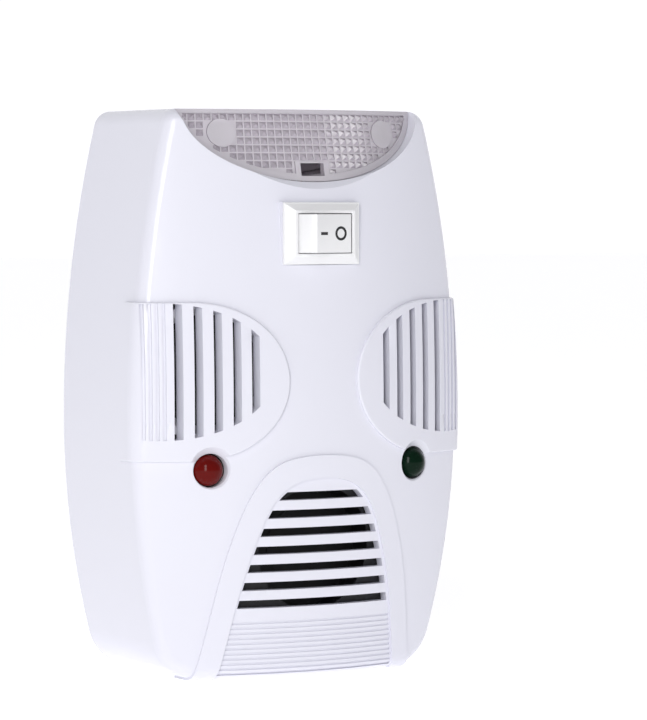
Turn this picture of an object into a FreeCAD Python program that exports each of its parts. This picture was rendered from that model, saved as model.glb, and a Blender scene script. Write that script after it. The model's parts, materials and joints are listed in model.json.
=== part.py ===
"""Ultrasonic pest repeller with night light: plug-in wall housing, three sounders and a rocker switch.

Frame: X to the right seen from the front, +Y into the wall, +Z up, millimetres. The origin lies on the
wall plane, midway between the two plug pins. The front of the housing faces -Y.
"""
import FreeCAD, Part
import math
import os
import re

Vector = FreeCAD.Vector
Rotation = FreeCAD.Rotation
Placement = FreeCAD.Placement

FRONT = Vector(0, -1, 0)          # direction that the front of the housing faces
BACK = Vector(0, 1, 0)
UP = Vector(0, 0, 1)

# Driving dimensions: alias, value (mm or degrees), what it is.
SIZES = [
    ("body_height", 138, "housing, bottom to top"),
    ("half_width", 45.3, "housing at its widest"),
    ("front_depth", 50.4, "wall plane to the foremost line of the front"),
    ("plug_height", 72, "pins above the flat bottom"),
    ("waist_height", 63, "widest level above the bottom"),
    ("side_arc_upper", 300, "radius of the side outline above the waist"),
    ("side_arc_lower", 216, "radius of the side outline below the waist"),
    ("front_arc_upper", 550, "radius of the front profile above the waist"),
    ("front_arc_lower", 330, "radius of the front profile below the waist"),
    ("front_bow", 92, "radius of the front in plan"),
    ("corner_upper", 4.5, "outline corner radius at the top"),
    ("corner_lower", 12, "outline corner radius at the bottom"),
    ("edge_round", 4, "round between front and sides"),
    ("wall", 2.5, "shell wall"),
    ("rear_lip", 1.3, "thin rim around the back cover"),
    ("cover_thickness", 2.5, "back cover plate"),
    ("fit_gap", 0.15, "gap between parts that are fitted together"),
    ("panel_rise", 0.9, "side grille panels above the front"),
    ("arch_rise", 0.6, "arch frame above the front"),
    ("panel_level", 0.6, "centre of the side grille panels"),
    ("slot_level", 3, "centre of the side slots"),
    ("panel_tip", 9.4, "half gap between the two side panels"),
    ("panel_half_height", 19.1, "side panel"),
    ("panel_round", 23.6, "depth of the rounded end of a side panel"),
    ("panel_rear", 32, "depth where a side panel ends on the side face"),
    ("slot_width", 2, "side grille slots"),
    ("slot_pitch", 4.5, "side grille slots"),
    ("slot_first", 18.2, "innermost side slot from the centre line"),
    ("louvre_width", 2, "front grille slots"),
    ("louvre_pitch", 4.35, "front grille slots"),
    ("louvre_top", -27.3, "uppermost front slot"),
    ("arch_frame", 5.5, "width of the raised arch frame"),
    ("led_radius", 3.9, "indicator lamps"),
    ("led_side", 28.4, "indicator lamps from the centre line"),
    ("led_level", -20.7, "indicator lamps"),
    ("led_tip", 47.2, "depth of the indicator domes"),
    ("switch_level", 36, "centre of the switch"),
    ("bezel_width", 21, "switch bezel"),
    ("bezel_height", 15, "switch bezel"),
    ("cutout_width", 19, "panel cut-out for the switch"),
    ("cutout_height", 13, "panel cut-out for the switch"),
    ("seat_depth", 48.6, "flat that the bezel sits on"),
    ("bezel_step", 0.7, "square outer step of the bezel"),
    ("bezel_rise", 1.9, "sloping band of the bezel"),
    ("rocker_half_height", 4.65, "rocker along its pivot"),
    ("opening_half_height", 4.85, "bezel opening"),
    ("opening_half_width", 7.5, "bezel opening"),
    ("pivot_below", 3.5, "pivot below the bezel's top"),
    ("rocker_radius", 7.9, "end walls of the rocker about its pivot"),
    ("rocker_tilt", 15, "rocker either side of its middle position, degrees"),
    ("contact_tilt", 8, "contact lever either side of its middle, degrees"),
    ("trunnion_radius", 1.2, "rocker pivot pins"),
    ("lens_half_width", 33, "night-light window along the top edge"),
    ("lens_drop", 17.6, "night-light window below the top edge"),
    ("lens_depth_low", 45.5, "lens at its lowest point"),
    ("lens_depth_top", 41.7, "lens at the top edge"),
    ("lens_wall", 1.8, "lens thickness"),
    ("lens_rim", 1.7, "plain rim around the patterned field of the lens"),
    ("lens_recess", 0.5, "depth of the patterned field"),
    ("lens_back", 20, "depth where the lens ends"),
    ("sounder_radius", 17, "sounder frames"),
    ("sounder_side", 25.5, "side sounders from the centre line"),
    ("sounder_turn", 20, "side sounders turned outwards, degrees"),
    ("disc_radius", 13.5, "piezo discs"),
    ("board_half_width", 32, "main board"),
    ("board_bottom", -42, "main board"),
    ("board_top", 28, "main board"),
    ("board_depth", 14, "wall plane to the back of the main board"),
    ("board_thickness", 1.6, "main board"),
    ("pin_radius", 2, "plug pins"),
    ("pin_core", 1.4, "plug pins inside their sleeves"),
    ("pin_spread", 19, "between the two pins"),
    ("pin_length", 19, "pins beyond the wall plane"),
    ("sleeve_length", 10, "insulating sleeves"),
    ("sleeve_radius", 1.75, "insulating sleeves"),
    ("boss_side", 30.5, "housing screws from the centre line"),
    ("boss_low", -56, "lower housing screws"),
    ("boss_high", 40, "upper housing screws"),
    ("boss_radius", 3.8, "screw bosses"),
    ("wire_radius", 0.65, "insulated inner wires"),
]

doc = FreeCAD.newDocument("PestRepeller")
sheet = doc.addObject("Spreadsheet::Sheet", "Sizes")
for row, (alias, value, meaning) in enumerate(SIZES, start=1):
    sheet.set(f"A{row}", meaning)
    sheet.set(f"B{row}", str(value))
    sheet.setAlias(f"B{row}", alias)
doc.recompute()

NODES = []


def size(alias):
    """Value of one driving dimension."""
    return float(sheet.get(alias))


def bound(text):
    """Expression text whose plain words are sheet aliases."""
    return re.sub(r"\b([a-z]+(?:_[a-z]+)+|wall)\b", r"Sizes.\1", str(text))


def bind(obj, **properties):
    """Bind properties such as Length or x, y, z (the place) to expressions of the sheet."""
    for name, text in properties.items():
        path = f"Placement.Base.{name}" if name in ("x", "y", "z") else name
        obj.setExpression(path, bound(text))
    return obj


def node(obj, label):
    """Make an object a named sub-part."""
    obj.Label = label
    NODES.append(obj)
    return obj


def feature(name, shape):
    """Object for a shape that is computed from the sheet."""
    obj = doc.addObject("Part::Feature", name)
    obj.Shape = shape
    return obj


def box(name, lengths, corner):
    """Box bound to the sheet: lengths and low corner along X, Y and Z."""
    obj = doc.addObject("Part::Box", name)
    return bind(obj, Length=lengths[0], Width=lengths[1], Height=lengths[2],
                x=corner[0], y=corner[1], z=corner[2])


def rod(name, radius, length, start, towards=BACK):
    """Cylinder bound to the sheet, from its start point along a direction."""
    obj = doc.addObject("Part::Cylinder", name)
    obj.Placement = Placement(Vector(), Rotation(UP, towards))
    return bind(obj, Radius=radius, Height=length, x=start[0], y=start[1], z=start[2])


def joined(name, pieces):
    """One piece made of several overlapping objects."""
    obj = doc.addObject("Part::MultiFuse", name)
    obj.Shapes = pieces
    return obj


def group(name, pieces):
    """Several separate pieces of one kind in one node."""
    obj = doc.addObject("Part::Compound", name)
    obj.Links = pieces
    return obj


def less(name, base, tool):
    """Base with the tool cut away."""
    obj = doc.addObject("Part::Cut", name)
    obj.Base = base
    obj.Tool = tool
    return obj


# --- Housing form -------------------------------------------------------------------------------

BOTTOM = -size("plug_height")
TOP = BOTTOM + size("body_height")
WAIST = BOTTOM + size("waist_height")
BOW_AXIS = size("front_bow") - size("front_depth")     # vertical axis that the front is turned about
FAR = 80.0                                             # longer than anything in the housing


def closed_face(curves):
    """Face inside a closed ring of edges and curves, listed in any order."""
    edges = [curve.toShape() if hasattr(curve, "toShape") else curve for curve in curves]
    return Part.Face(Part.Wire(Part.sortEdges(edges)[0]))


def arc_reach(reach, radius, grow, level):
    """Distance from the axis of an arc that is `reach` away at the waist."""
    return reach - radius + math.sqrt((radius + grow) ** 2 - (level - WAIST) ** 2)


def bowed_side(reach, upper, lower, grow, low, high, place):
    """Two arcs that meet at the waist; place(reach, level) gives a point."""
    def point(radius, level):
        return place(arc_reach(reach, radius, grow, level), level)
    return [Part.Arc(point(lower, low), point(lower, (low + WAIST) / 2), point(lower, WAIST)),
            Part.Arc(point(upper, WAIST), point(upper, (high + WAIST) / 2), point(upper, high))]


def outline_prism(grow, near, far):
    """Front-view outline of the housing, grown all round, between two depths."""
    low, high = BOTTOM - grow, TOP + grow
    half, upper, lower = size("half_width"), size("side_arc_upper"), size("side_arc_lower")
    right = bowed_side(half, upper, lower, grow, low, high, lambda r, level: Vector(r, -near, level))
    left = bowed_side(half, upper, lower, grow, low, high, lambda r, level: Vector(-r, -near, level))
    top_right = Vector(arc_reach(half, upper, grow, high), -near, high)
    low_right = Vector(arc_reach(half, lower, grow, low), -near, low)
    top_left, low_left = (Vector(-p.x, p.y, p.z) for p in (top_right, low_right))
    ends = [Part.makeLine(top_right, top_left), Part.makeLine(low_left, low_right)]
    prism = closed_face(right + left + ends).extrude(FRONT * (far - near))
    for level, radius in ((low, size("corner_lower")), (high, size("corner_upper"))):
        corners = [edge for edge in prism.Edges
                   if edge.BoundBox.XLength < 0.01 and edge.BoundBox.ZLength < 0.01
                   and abs(edge.BoundBox.ZMin - level) < 0.01]
        prism = prism.makeFillet(radius + grow, corners)
    return prism


def turned(points_and_curves):
    """Half turn of a closed profile about the vertical bow axis, on the front side."""
    return closed_face(points_and_curves).revolve(Vector(0, BOW_AXIS, 0), UP, -180)


def bow_barrel(grow):
    """Barrel whose skin is the bowed front of the housing."""
    low, high = BOTTOM - grow - 2, TOP + grow + 2
    reach = size("front_bow")

    def place(radius, level):
        return Vector(radius, BOW_AXIS, level)
    upper, lower = size("front_arc_upper"), size("front_arc_lower")
    sides = bowed_side(reach, upper, lower, grow, low, high, place)
    outer_top = place(arc_reach(reach, upper, grow, high), high)
    outer_low = place(arc_reach(reach, lower, grow, low), low)
    axis_top, axis_low = place(0, high), place(0, low)
    return turned(sides + [Part.makeLine(outer_top, axis_top), Part.makeLine(axis_top, axis_low),
                           Part.makeLine(axis_low, outer_low)])


def housing_form(grow, rounded=True):
    """Solid form of the housing, grown or shrunk, with its front edge rounded."""
    form = outline_prism(grow, 0, FAR).common(bow_barrel(grow))
    if not rounded:
        return form
    rim = []
    for edge in form.Edges:
        kinds = {type(face.Surface).__name__ for face in form.ancestorsOfType(edge, Part.Face)}
        if "SurfaceOfRevolution" in kinds and len(kinds) == 2:
            rim.append(edge)
    return form.makeFillet(size("edge_round") + grow, rim)


def block(x_low, x_high, near, far, z_low, z_high):
    """Plain box between depths `near` and `far` from the wall plane."""
    return Part.makeBox(x_high - x_low, far - near, z_high - z_low, Vector(x_low, -far, z_low))


def ellipse_face(half_x, half_z, x, depth, level):
    """Upright elliptic face at one depth."""
    centre = Vector(x, -depth, level)
    ends = [centre + Vector(half_x, 0, 0), centre + Vector(0, 0, half_z)]
    if half_z > half_x:
        ends.reverse()
    return closed_face([Part.Ellipse(ends[0], ends[1], centre)])


def ellipse_prism(half_x, half_z, x, level, near, far):
    """Elliptic rod along Y between two depths."""
    return ellipse_face(half_x, half_z, x, near, level).extrude(FRONT * (far - near))


def mirrored(shape):
    """Same piece on the other side of the centre line."""
    return shape.mirror(Vector(), Vector(1, 0, 0))


def fused(shapes):
    """One solid made of overlapping shapes."""
    return shapes[0].multiFuse(shapes[1:]) if len(shapes) > 1 else shapes[0]


# --- Raised side panels, arch frame and grille slots ---------------------------------------------

PANEL_CENTRE = size("panel_tip") + size("panel_round")
SLOTS = 5
LOUVRES = 7


def panel_prism(inset, near, far):
    """Side panel seen from the front: round towards the middle, straight towards the side."""
    half = size("panel_half_height") - inset
    level = size("panel_level")
    round_end = ellipse_prism(size("panel_round") - inset, half, PANEL_CENTRE, level, near, far)
    straight = block(PANEL_CENTRE, FAR, near, far, level - half, level + half)
    return round_end.fuse(straight)


def soft_rim(piece, radius):
    """Round off the edges between the walls of a raised piece, parallel to Y, and its bowed skin."""
    def is_wall(face):
        u_low, u_high, v_low, v_high = face.ParameterRange
        across = face.normalAt((u_low + u_high) / 2, (v_low + v_high) / 2)
        return abs(across.y) < 0.02 and face.CenterOfMass.x < PANEL_CENTRE + 8

    rim = []
    for edge in piece.Edges:
        walls = {is_wall(face) for face in piece.ancestorsOfType(edge, Part.Face)}
        if len(walls) == 2 and edge.BoundBox.YMax < -size("panel_rear") + 0.01:
            rim.append(edge)
    return piece.makeFillet(radius, rim)


def slot_field(near, far):
    """Outline that ends the slots of the right-hand side panel."""
    return ellipse_prism(26.5, 16.4, 40, size("slot_level"), near, far)


def side_slots():
    """Upright through slots of the right-hand panel."""
    near = size("panel_rear") - 2
    strips = []
    for index in range(SLOTS):
        middle = size("slot_first") + index * size("slot_pitch")
        half = size("slot_width") / 2
        strips.append(block(middle - half, middle + half, near, FAR, BOTTOM, TOP))
    return slot_field(near, FAR).common(Part.makeCompound(strips))


def side_grooves(skin):
    """Shallow upright grooves that carry the slot pattern round the corner."""
    first, pitch, width, count = 38.9, 1.5, 0.75, 4
    strips = [block(first + index * pitch, first + index * pitch + width, 30, FAR, BOTTOM, TOP)
              for index in range(count)]
    return skin.common(slot_field(30, FAR)).common(Part.makeCompound(strips))


def arch_prism(inset, near, far):
    """Arch that stands on the bottom edge: inset 0 is its outer line."""
    foot, flank, shoulder, crown = (30.6, 0), (26.8, 19.4), (22.5, 36.5), (12.6, 52)
    top = 54.4
    right = [(foot[0] + 0.6 - inset, foot[1] - 3), (flank[0] - inset, flank[1]),
             (shoulder[0] - inset, shoulder[1] - 0.3 * inset), (crown[0] - 0.5 * inset, crown[1] - inset),
             (0, top - inset)]
    points = [Vector(x, -near, BOTTOM + level) for x, level in right]
    points += [Vector(-p.x, p.y, p.z) for p in reversed(points[:-1])]
    curve = Part.BSplineCurve()
    curve.interpolate(points)
    face = closed_face([curve, Part.makeLine(points[-1], points[0])])
    return face.extrude(FRONT * (far - near))


def louvres():
    """Level through slots inside the arch."""
    half = size("louvre_width") / 2
    strips = []
    for index in range(LOUVRES):
        level = size("louvre_top") - index * size("louvre_pitch")
        strips.append(block(-FAR, FAR, 30, FAR, level - half, level + half))
    return arch_prism(size("arch_frame") + 0.7, 30, FAR).common(Part.makeCompound(strips))


def foot_ribs(skin):
    """Fine level grooves between the last louvre and the bottom edge."""
    first, pitch, width, count = BOTTOM + 1.2, 1.25, 0.55, 11
    strips = [block(-FAR, FAR, 30, FAR, first + index * pitch, first + index * pitch + width)
              for index in range(count)]
    return skin.common(arch_prism(size("arch_frame") + 0.4, 30, FAR)).common(Part.makeCompound(strips))


# --- Night-light window --------------------------------------------------------------------------

def lens_cone(grow):
    """Leaning front of the lens, turned about the same axis as the housing front."""
    lean = (size("lens_depth_low") - size("lens_depth_top")) / size("lens_drop")

    def skin_point(level):
        depth = size("lens_depth_top") + lean * (TOP - level)
        return Vector(depth + BOW_AXIS + grow, BOW_AXIS, level)
    low, high = TOP - 2 * size("lens_drop"), TOP + 4
    corners = [skin_point(low), skin_point(high), Vector(0, BOW_AXIS, high), Vector(0, BOW_AXIS, low)]
    return turned([Part.makeLine(a, b) for a, b in zip(corners, corners[1:] + corners[:1])])


def window_prism(grow, near, far):
    """D-shaped window: the half of an ellipse below the top edge."""
    return ellipse_prism(size("lens_half_width") + grow, size("lens_drop") + grow, 0, TOP, near, far)


def window_scoop():
    """Flared dish around the window, down to the lens."""
    shallow = ellipse_face(size("lens_half_width") - 0.6, 3.6, 0, size("lens_back") + 11.4, TOP)
    wide = ellipse_face(size("lens_half_width") + 2.6, size("lens_drop") + 4.4, 0, size("front_depth"), TOP)
    flare = Part.makeLoft([shallow.Wires[0], wide.Wires[0]], True)
    return flare.cut(lens_cone(0))


# --- Front shell ---------------------------------------------------------------------------------

BOSSES = [(side, level) for level in ("boss_low", "boss_high") for side in (-1, 1)]
COVER_POST_END = 10.0             # cover posts meet the shell's screw bosses at this depth
COUNTERBORE = 6.0                 # depth of the shoulder under the heads of the housing screws


def led_hole():
    """Hole for the right-hand indicator, with a soft dish that follows the bowed front."""
    side, level = size("led_side"), size("led_level")
    hole = Part.makeCylinder(size("led_radius") + 0.2, 30, Vector(side, -30, level), FRONT)
    angle = math.asin(side / size("front_bow"))
    outward = Vector(math.sin(angle), -math.cos(angle), 0)
    skin = Vector(side, BOW_AXIS - size("front_bow") * math.cos(angle), level)
    dish = Part.makeCone(size("led_radius"), size("led_radius") + 2, 2, skin - outward, outward)
    return hole.fuse(dish)


def screw_boss(side, level, cavity):
    """Boss on the inside of the front, from the cover post to the front wall."""
    centre = Vector(side * size("boss_side"), -COVER_POST_END - 0.05, size(level))
    boss = Part.makeCylinder(size("boss_radius"), FAR, centre, FRONT).common(cavity)
    return boss.cut(Part.makeCylinder(1.5, 15, centre, FRONT))


def front_shell():
    """Bowed cover with its grilles, window, switch opening, lamp holes and screw bosses."""
    cavity = housing_form(-size("wall"), rounded=False)
    raised = housing_form(size("panel_rise"))
    standing = block(-FAR, FAR, 20, FAR, BOTTOM, TOP)
    panel = soft_rim(raised.common(panel_prism(0, size("panel_rear"), FAR)), 0.4)
    frame = housing_form(size("arch_rise")).common(arch_prism(0, 30, FAR))
    frame = frame.cut(arch_prism(size("arch_frame"), 30, FAR))
    shell = housing_form(0).fuse([panel, mirrored(panel), frame.common(standing)]).cut(cavity)
    seat = window_prism(5, size("lens_back"), FAR).cut(lens_cone(-3)).common(cavity)
    level = size("switch_level")
    seat_x, seat_z = size("bezel_width") / 2 + 0.15, size("bezel_height") / 2 + 0.15
    pad = block(-seat_x, seat_x, size("seat_depth") - size("wall"), size("seat_depth"), level - seat_z,
                level + seat_z)
    shell = shell.fuse([seat, pad] + [screw_boss(side, height, cavity) for side, height in BOSSES])
    panel_skin = raised.cut(housing_form(size("panel_rise") - 0.45))
    front_skin = housing_form(0).cut(housing_form(-0.3))
    grooves = side_grooves(panel_skin)
    slots = side_slots()
    shell = shell.cut([slots, mirrored(slots), louvres()])
    shell = shell.cut([grooves, mirrored(grooves), foot_ribs(front_skin)])
    window = window_prism(0, size("lens_back") - size("fit_gap"), FAR)
    shell = shell.cut([window_scoop(), window, led_hole(), mirrored(led_hole())])
    half_width, half_height = size("cutout_width") / 2 + 0.1, size("cutout_height") / 2 + 0.1
    cutout = block(-half_width, half_width, 30, FAR, level - half_height, level + half_height)
    flat = block(-seat_x, seat_x, size("seat_depth"), FAR, level - seat_z, level + seat_z)
    rebate = outline_prism(-size("rear_lip"), -1, size("cover_thickness"))
    return shell.cut([cutout, flat, rebate])


node(feature("FrontShell", front_shell()), "front_shell")


# --- Back cover, screws and plug -----------------------------------------------------------------

def back_cover():
    """Plate in the shell's rear rim, with screw posts, board posts and the plug block."""
    plate = outline_prism(-size("rear_lip") - size("fit_gap"), 0, size("cover_thickness"))
    parts, holes = [plate], []
    for side, level in BOSSES:
        centre = Vector(side * size("boss_side"), 0, size(level))
        parts.append(Part.makeCylinder(4.2, COVER_POST_END, centre, FRONT))
        holes.append(Part.makeCylinder(3, COUNTERBORE, centre, FRONT))
        holes.append(Part.makeCylinder(1.65, COVER_POST_END, centre, FRONT))
    for x, z in BOARD_POSTS:
        parts.append(Part.makeCylinder(2.6, size("board_depth"), Vector(x, 0, z), FRONT))
        holes.append(Part.makeCylinder(1.05, 10, Vector(x, -5, z), FRONT))
    parts.append(block(-15, 15, 1, 8, -8, 8))
    for side in (-1, 1):
        centre = Vector(side * size("pin_spread") / 2, 0, 0)
        holes.append(Part.makeCylinder(size("sleeve_radius") + 0.05, 4, centre, FRONT))
        holes.append(Part.makeCylinder(size("pin_core") + 0.05, 9, centre, FRONT))
    return fused(parts).cut(holes)


BOARD_POSTS = [(side * 26, level) for side in (-1, 1)
               for level in (size("board_bottom") + 5, size("board_top") - 5)]
node(feature("BackCover", back_cover()), "back_cover")


def screw(name, start, head, shank, towards):
    """Pan-head screw with a cross recess; head and shank are (radius, length) pairs."""
    head_rod = rod(f"{name}Head", head[0], head[1], start, towards)
    neck = [start[axis] + towards[axis] * head[1] for axis in range(3)]
    shank_rod = rod(f"{name}Shank", shank[0], shank[1], neck, towards)
    whole = joined(f"{name}Blank", [head_rod, shank_rod])
    long, thin, deep = head[0] * 1.1, 0.5, head[1] * 1.2
    low = [start[0], start[1] - deep / 2, start[2]]
    bar = box(f"{name}BarX", (long, deep, thin), (low[0] - long / 2, low[1], low[2] - thin / 2))
    rise = box(f"{name}BarZ", (thin, deep, long), (low[0] - thin / 2, low[1], low[2] - long / 2))
    return less(name, whole, joined(f"{name}Cross", [bar, rise]))


HOUSING_SCREWS = [screw(f"HousingScrew{index}", (side * size("boss_side"), 1.8 - COUNTERBORE, size(level)),
                        (2.8, 1.8), (1.45, 16), FRONT)
                  for index, (side, level) in enumerate(BOSSES)]
node(group("HousingScrews", HOUSING_SCREWS), "housing_screws")


def plug_pin(name, side):
    """Round pin: full size at the tip, a core inside the sleeve and a foot behind the cover."""
    centre = f"{side} * pin_spread / 2"
    tip = rod(f"{name}Tip", "pin_radius", "pin_length - sleeve_length - 1.2",
              (centre, "sleeve_length", 0))
    nose = doc.addObject("Part::Cone", f"{name}Nose")
    nose.Placement = Placement(Vector(), Rotation(UP, BACK))
    bind(nose, Radius1="pin_radius", Radius2="pin_radius - 0.8", Height=1.2,
         x=centre, y="pin_length - 1.2", z=0)
    core = rod(f"{name}Core", "pin_core", "sleeve_length + 9", (centre, -9, 0))
    foot = rod(f"{name}Foot", 2.6, 1, (centre, -9, 0))
    return joined(name, [tip, nose, core, foot])


def sleeve(name, side):
    """Insulating sleeve round the inner part of a pin, let into the cover."""
    centre = f"{side} * pin_spread / 2"
    outer = rod(f"{name}Outer", "sleeve_radius", "sleeve_length + 3.9", (centre, -3.9, 0))
    bore = rod(f"{name}Bore", "pin_core + 0.02", "sleeve_length + 6", (centre, -5, 0))
    return less(name, outer, bore)


node(plug_pin("PinLeft", -1), "plug_pin_left")
node(plug_pin("PinRight", 1), "plug_pin_right")
node(group("Sleeves", [sleeve("SleeveLeft", -1), sleeve("SleeveRight", 1)]), "pin_sleeves")


# --- Night light ---------------------------------------------------------------------------------

LENS_POSTS = [(-22.4, 60.2), (22.4, 60.2)]
TRAY_FRONT = 25.4                 # depth of the tray's front face


def night_light_lens():
    """Clear cap: leaning front with a sunk field, flat top, skirt round the window and two screw posts."""
    gap, wall = size("fit_gap"), size("lens_wall")
    outside = window_prism(-gap, size("lens_back"), FAR).common(lens_cone(0)).common(housing_form(0))
    inside = window_prism(-gap - wall, 0, FAR).common(lens_cone(-wall))
    inside = inside.common(block(-FAR, FAR, 0, FAR, BOTTOM, TOP - wall))
    lens = outside.cut(inside)
    posts = [Part.makeCylinder(2.7, 30, Vector(x, -TRAY_FRONT, z), FRONT).common(outside)
             for x, z in LENS_POSTS]
    bores = [Part.makeCylinder(1, 6, Vector(x, -TRAY_FRONT, z), FRONT) for x, z in LENS_POSTS]
    low = TOP - size("lens_drop")
    notch = block(-3.25, 3.25, 34, FAR, low + 1.5, low + 4.6)
    field = window_prism(-gap - size("lens_rim"), 30, FAR).cut(lens_cone(-size("lens_recess")))
    field = field.common(block(-FAR, FAR, 30, FAR, BOTTOM, TOP - 1))
    plain = [Part.makeCylinder(3.4, FAR, Vector(x, 0, z), FRONT) for x, z in LENS_POSTS]
    field = field.cut(plain + [block(-4.6, 4.6, 30, FAR, low, low + 5)])
    return fused([lens] + posts).cut(bores + [notch, field])


node(feature("Lens", night_light_lens()), "night_light_lens")


def lamp_tray():
    """White reflector plate behind the lens."""
    inset = -size("fit_gap") - size("lens_wall") - 0.2
    plate = window_prism(inset, TRAY_FRONT - 1.4, TRAY_FRONT)
    plate = plate.common(block(-FAR, FAR, 0, FAR, BOTTOM, TOP - size("lens_wall") - 0.2))
    return plate.cut([Part.makeCylinder(1.1, 9, Vector(x, -TRAY_FRONT + 5, z), FRONT)
                      for x, z in LENS_POSTS + [(8, 57), (10, 57)]])


node(feature("LampTray", lamp_tray()), "lamp_tray")
node(group("LensScrews", [screw(f"LensScrew{index}", (x, -TRAY_FRONT + 2.6, z), (2, 1.2), (0.95, 7),
                                FRONT)
                          for index, (x, z) in enumerate(LENS_POSTS)]), "lens_screws")

LAMP_BOARD_FRONT = TRAY_FRONT + 1.2
node(box("LampBoard", (28, 1.2, 10), (-14, -LAMP_BOARD_FRONT, 53)), "lamp_board")


def small_led(name, x, z, radius, start, body, flange):
    """Dome-ended lamp standing on a board: rim, barrel and dome."""
    rim = rod(f"{name}Rim", f"{radius} * 1.14", flange, (x, -start, z), FRONT)
    barrel = rod(f"{name}Barrel", radius, body, (x, -start, z), FRONT)
    dome = doc.addObject("Part::Sphere", f"{name}Dome")
    bind(dome, Radius=radius, x=x, y=f"-{start} - {body}", z=z)
    return joined(name, [rim, barrel, dome])


node(group("LampLeds", [small_led(f"LampLed{index}", -9 + 6 * index, 58, 1.5, LAMP_BOARD_FRONT, 3.4, 0.8)
                        for index in range(4)]), "lamp_leds")


# --- Rocker switch -------------------------------------------------------------------------------

BEZEL_TOP = size("seat_depth") + size("bezel_step") + size("bezel_rise")
PIVOT = Vector(0, -(BEZEL_TOP - size("pivot_below")), size("switch_level"))
BODY_BACK = -PIVOT.y - 14.7       # depth of the switch body's rear wall
BLADES = (0.0, 6.2)               # common contact and switched contact


def bezel():
    """Square step with four mitred sloping bands."""
    half_x, half_z = size("bezel_width") / 2, size("bezel_height") / 2
    level, seat = size("switch_level"), size("seat_depth")
    step_top = seat + size("bezel_step")

    def outline(margin_x, margin_z, depth):
        x, z = half_x - margin_x, half_z - margin_z
        return Part.makePolygon([Vector(a * x, -depth, level + b * z)
                                 for a, b in ((-1, -1), (1, -1), (1, 1), (-1, 1), (-1, -1))])
    step = block(-half_x, half_x, seat, step_top, level - half_z, level + half_z)
    bands = Part.makeLoft([outline(0.3, 0.3, step_top), outline(2.2, 1.9, BEZEL_TOP)], True, True)
    return step.fuse(bands)


def switch_body():
    """Bezel and the hollow barrel that snaps into the panel, with bearing holes for the rocker."""
    level = size("switch_level")
    half_x, half_z = size("cutout_width") / 2 - 0.15, size("cutout_height") / 2 - 0.15
    barrel = block(-half_x, half_x, BODY_BACK, size("seat_depth") + 0.2, level - half_z, level + half_z)
    seat = size("seat_depth")
    clips = block(-half_x - 0.9, half_x + 0.9, seat - 6.1, seat - 4.1, level - 3, level + 3)
    open_x, open_z = size("opening_half_width"), size("opening_half_height")
    mouth = block(-open_x, open_x, seat - 4.6, FAR, level - open_z, level + open_z)
    room = size("rocker_radius") + 0.25
    hollow = Part.makeCylinder(room, 2 * open_z, PIVOT - UP * open_z, UP)
    hollow = hollow.cut(block(-FAR, FAR, BEZEL_TOP - 0.3, FAR, -FAR, FAR))
    chamber = block(-room, room, BODY_BACK + 1.2, -PIVOT.y, level - open_z, level + open_z)
    bearing = Part.makeCylinder(size("trunnion_radius") + 0.08, 2 * half_z - 1, PIVOT - UP * (half_z - 0.5),
                                UP)
    body = bezel().fuse([barrel, clips]).cut([mouth, hollow, chamber, bearing])
    return body.cut([blade_slot(x) for x in BLADES])


def blade_slot(x):
    """Slot in the switch's rear wall for a blade."""
    level = size("switch_level")
    return block(x - 0.45, x + 0.45, BODY_BACK - 1, BODY_BACK + 2, level - 2.4, level + 2.4)


node(feature("SwitchBody", switch_body()), "switch_body")


def about_pivot(shape, degrees):
    """Shape turned about the rocker's pivot, in degrees about +Z."""
    turned_shape = shape.copy()
    turned_shape.rotate(PIVOT, UP, degrees)
    return turned_shape


def rocker_section(radius, corner, crease, floor):
    """Plan section of the rocker in its middle position: dished top and round end walls."""
    def place(x, out):
        return Vector(PIVOT.x + x, PIVOT.y - out, PIVOT.z)
    corner_x, corner_out = radius * math.sin(corner), radius * math.cos(corner)
    low = math.radians(88)
    low_x, low_out = radius * math.sin(low), radius * math.cos(low)
    middle = (corner + low) / 2
    mid_x, mid_out = radius * math.sin(middle), radius * math.cos(middle)
    right = Part.Arc(place(corner_x, corner_out), place(mid_x, mid_out), place(low_x, low_out))
    left = Part.Arc(place(-low_x, low_out), place(-mid_x, mid_out), place(-corner_x, corner_out))
    return closed_face([
        Part.makeLine(place(-corner_x, corner_out), place(0, crease)),
        Part.makeLine(place(0, crease), place(corner_x, corner_out)), right,
        Part.makeLine(place(low_x, low_out), place(low_x - 0.6, floor)),
        Part.makeLine(place(low_x - 0.6, floor), place(-low_x + 0.6, floor)),
        Part.makeLine(place(-low_x + 0.6, floor), place(-low_x, low_out)), left])


def switch_rocker():
    """Hollow rocker with a dished top, pivot pins and a tube for the plunger."""
    half = size("rocker_half_height")
    corner = math.radians(46.8)
    solid = rocker_section(size("rocker_radius"), corner, 4.7, -1.0).extrude(UP * (2 * half))
    solid.translate(UP * -half)
    inner = rocker_section(size("rocker_radius") - 1.1, corner, 3.5, -2.0).extrude(UP * (2 * half - 2.2))
    inner.translate(UP * (1.1 - half))
    pins = Part.makeCylinder(size("trunnion_radius"), 11, PIVOT - UP * 5.5, UP)
    pins = pins.cut(block(-3, 3, 30, FAR, PIVOT.z - half + 0.6, PIVOT.z + half - 0.6))
    tube = Part.makeCylinder(2, 7, PIVOT + BACK * 2.5, FRONT)
    bore = Part.makeCylinder(1.35, 5.4, PIVOT + BACK * 2.6, FRONT)
    rocker = fused([solid.cut(inner), pins, tube]).cut(bore)
    return about_pivot(rocker, size("rocker_tilt"))


def switch_plunger():
    """Round-nosed plunger that slides in the rocker's tube."""
    stem = Part.makeCylinder(1.2, 3.2, PIVOT + BACK * 3.4, FRONT)
    nose = Part.makeSphere(1.2, PIVOT + BACK * 3.4)
    return about_pivot(stem.fuse(nose), size("rocker_tilt"))


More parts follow.
